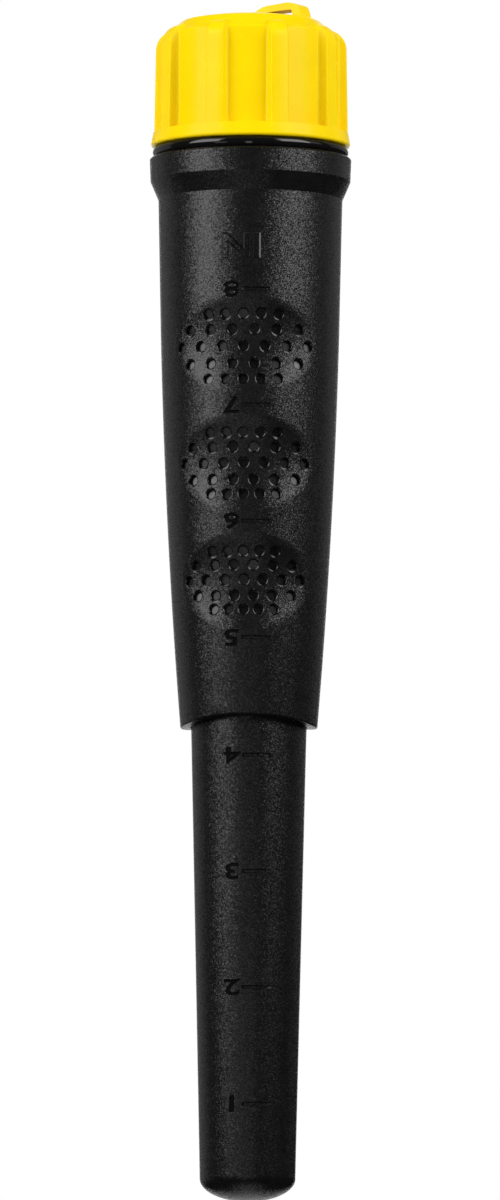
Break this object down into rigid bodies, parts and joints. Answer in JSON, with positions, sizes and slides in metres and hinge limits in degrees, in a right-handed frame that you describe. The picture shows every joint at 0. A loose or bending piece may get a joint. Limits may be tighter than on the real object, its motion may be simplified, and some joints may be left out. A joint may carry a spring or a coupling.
{
  "type": "metal-detector pinpointer",
  "caption": "Hand-held metal-detecting probe with a tapered handle, dished grips, moulded ruler, ribbed screw cap and sealed push button.",
  "frame": {"origin": "tip of the probe, on the long axis", "axes": "+Z along the long axis towards the battery cap, -Y towards the ruler and the dished grips, +Y towards the power button"},
  "size_m": [0.0442, 0.0442, 0.2635],
  "materials": {
    "black_plastic": "fine moulded grain, satin black",
    "yellow_plastic": "smooth gloss yellow",
    "seal_rubber": "smooth greased rubber",
    "button_rubber": "matt rubber",
    "pad_foam": "open foam",
    "battery_jacket": "plain printed jacket",
    "plated_steel": "bright plating",
    "spring_brass": "bright sheet",
    "chassis_plastic": "moulded grey",
    "board_laminate": "solder mask",
    "chip_plastic": "moulded epoxy",
    "plunger_plastic": "plain",
    "lamp_plastic": "water clear epoxy",
    "clear_plastic": "polished clear",
    "weight_metal": "sintered",
    "ferrite": "ground ferrite",
    "copper_wire": "enamelled copper",
    "wire_jacket": "plain jacket"
  },
  "bodies": {
    "housing": {"handle_housing": "black_plastic", "probe_tube": "black_plastic", "battery_block": "battery_jacket", "battery_terminals": "plated_steel", "battery_cradle": "chassis_plastic", "contact_plate": "board_laminate", "battery_contacts": "spring_brass", "battery_leads": "wire_jacket", "board_chassis": "chassis_plastic", "circuit_board": "board_laminate", "board_components": "chip_plastic", "board_screws": "plated_steel", "tact_switch": "chip_plastic", "button_bezel": "black_plastic", "button_seal": "seal_rubber", "led": "lamp_plastic", "led_lens": "clear_plastic", "piezo_buzzer": "chip_plastic", "vibration_motor": "plated_steel", "coil_bobbin": "chassis_plastic", "ferrite_core": "ferrite", "transmit_coil": "copper_wire", "receive_coil": "copper_wire", "coil_leads": "wire_jacket"},
    "seal": {"cap_o_ring": "seal_rubber"},
    "cap": {"battery_cap": "yellow_plastic", "battery_pad": "pad_foam"},
    "button": {"power_button": "button_rubber"},
    "plunger": {"switch_plunger": "plunger_plastic"},
    "rotor": {"motor_shaft": "plated_steel", "eccentric_weight": "weight_metal"}
  },
  "joints": [
    {"name": "cap_lift", "type": "slide", "parent": "housing", "child": "seal", "axis": [0, 0, 1], "range_m": [0, 0.0075]},
    {"name": "cap_turn", "type": "hinge", "parent": "seal", "child": "cap", "pos_m": [0, 0, 0.2321], "axis": [0, 0, 1], "range_deg": [0, 540]},
    {"name": "button_press", "type": "slide", "parent": "housing", "child": "button", "axis": [0, -1, 0], "range_m": [0, 0.0006], "stiffness_N_per_m": 1500, "springref_m": -0.0005},
    {"name": "plunger_press", "type": "slide", "parent": "housing", "child": "plunger", "axis": [0, -1, 0], "range_m": [0, 0.0006]},
    {"name": "rotor_spin", "type": "hinge", "parent": "housing", "child": "rotor", "pos_m": [0, -0.00205, 0.148], "axis": [0, 0, 1], "continuous": true}
  ],
  "couplings": [
    {"joint": "cap_lift", "follows": "cap_turn", "m_per_rad": 0.00079577},
    {"joint": "plunger_press", "follows": "button_press", "ratio": 1}
  ]
}
